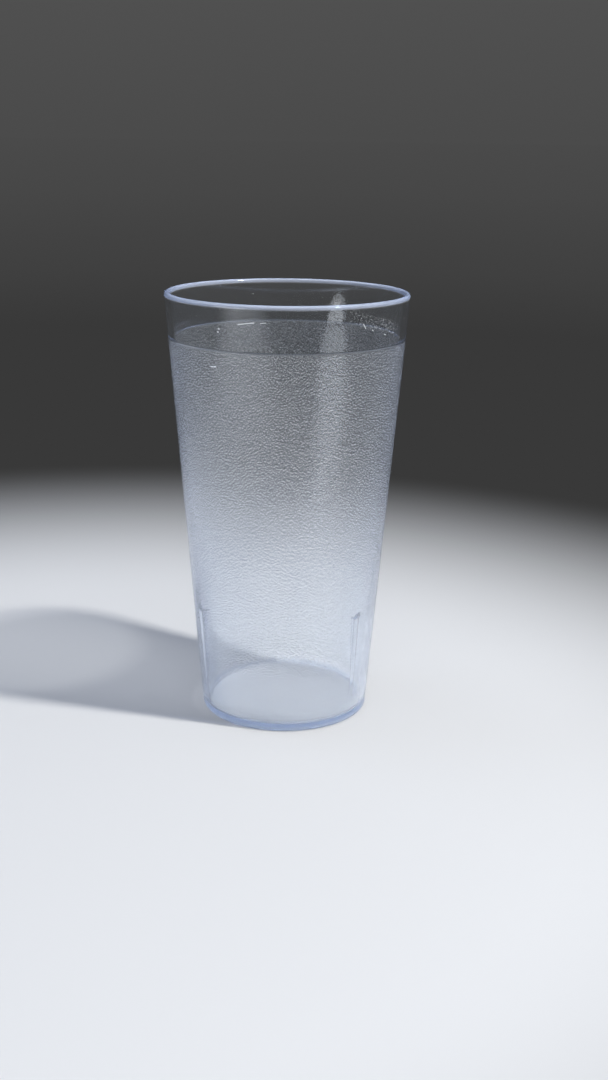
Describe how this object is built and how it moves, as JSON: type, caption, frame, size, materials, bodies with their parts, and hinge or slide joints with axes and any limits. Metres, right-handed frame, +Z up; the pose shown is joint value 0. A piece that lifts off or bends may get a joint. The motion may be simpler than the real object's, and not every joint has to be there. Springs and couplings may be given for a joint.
{
  "type": "plastic tumbler cup",
  "caption": "Clear plastic drinking tumbler: straight tapered cup with a rounded lip, a smooth band below it, a pebbled outside wall, a foot ring and inside stacking ribs.",
  "frame": {"origin": "centre of the foot, on the table", "axes": "+Z up along the cup's axis; one stacking rib lies towards +Y, the others a third of a turn either way"},
  "size_m": [0.086, 0.086, 0.154],
  "materials": {
    "clear_plastic": "clear moulded plastic with a faint blue cast: polished inside and on the band under the lip, pebbled on the outside wall"
  },
  "bodies": {
    "root": {"tumbler": "clear_plastic"}
  },
  "joints": []
}
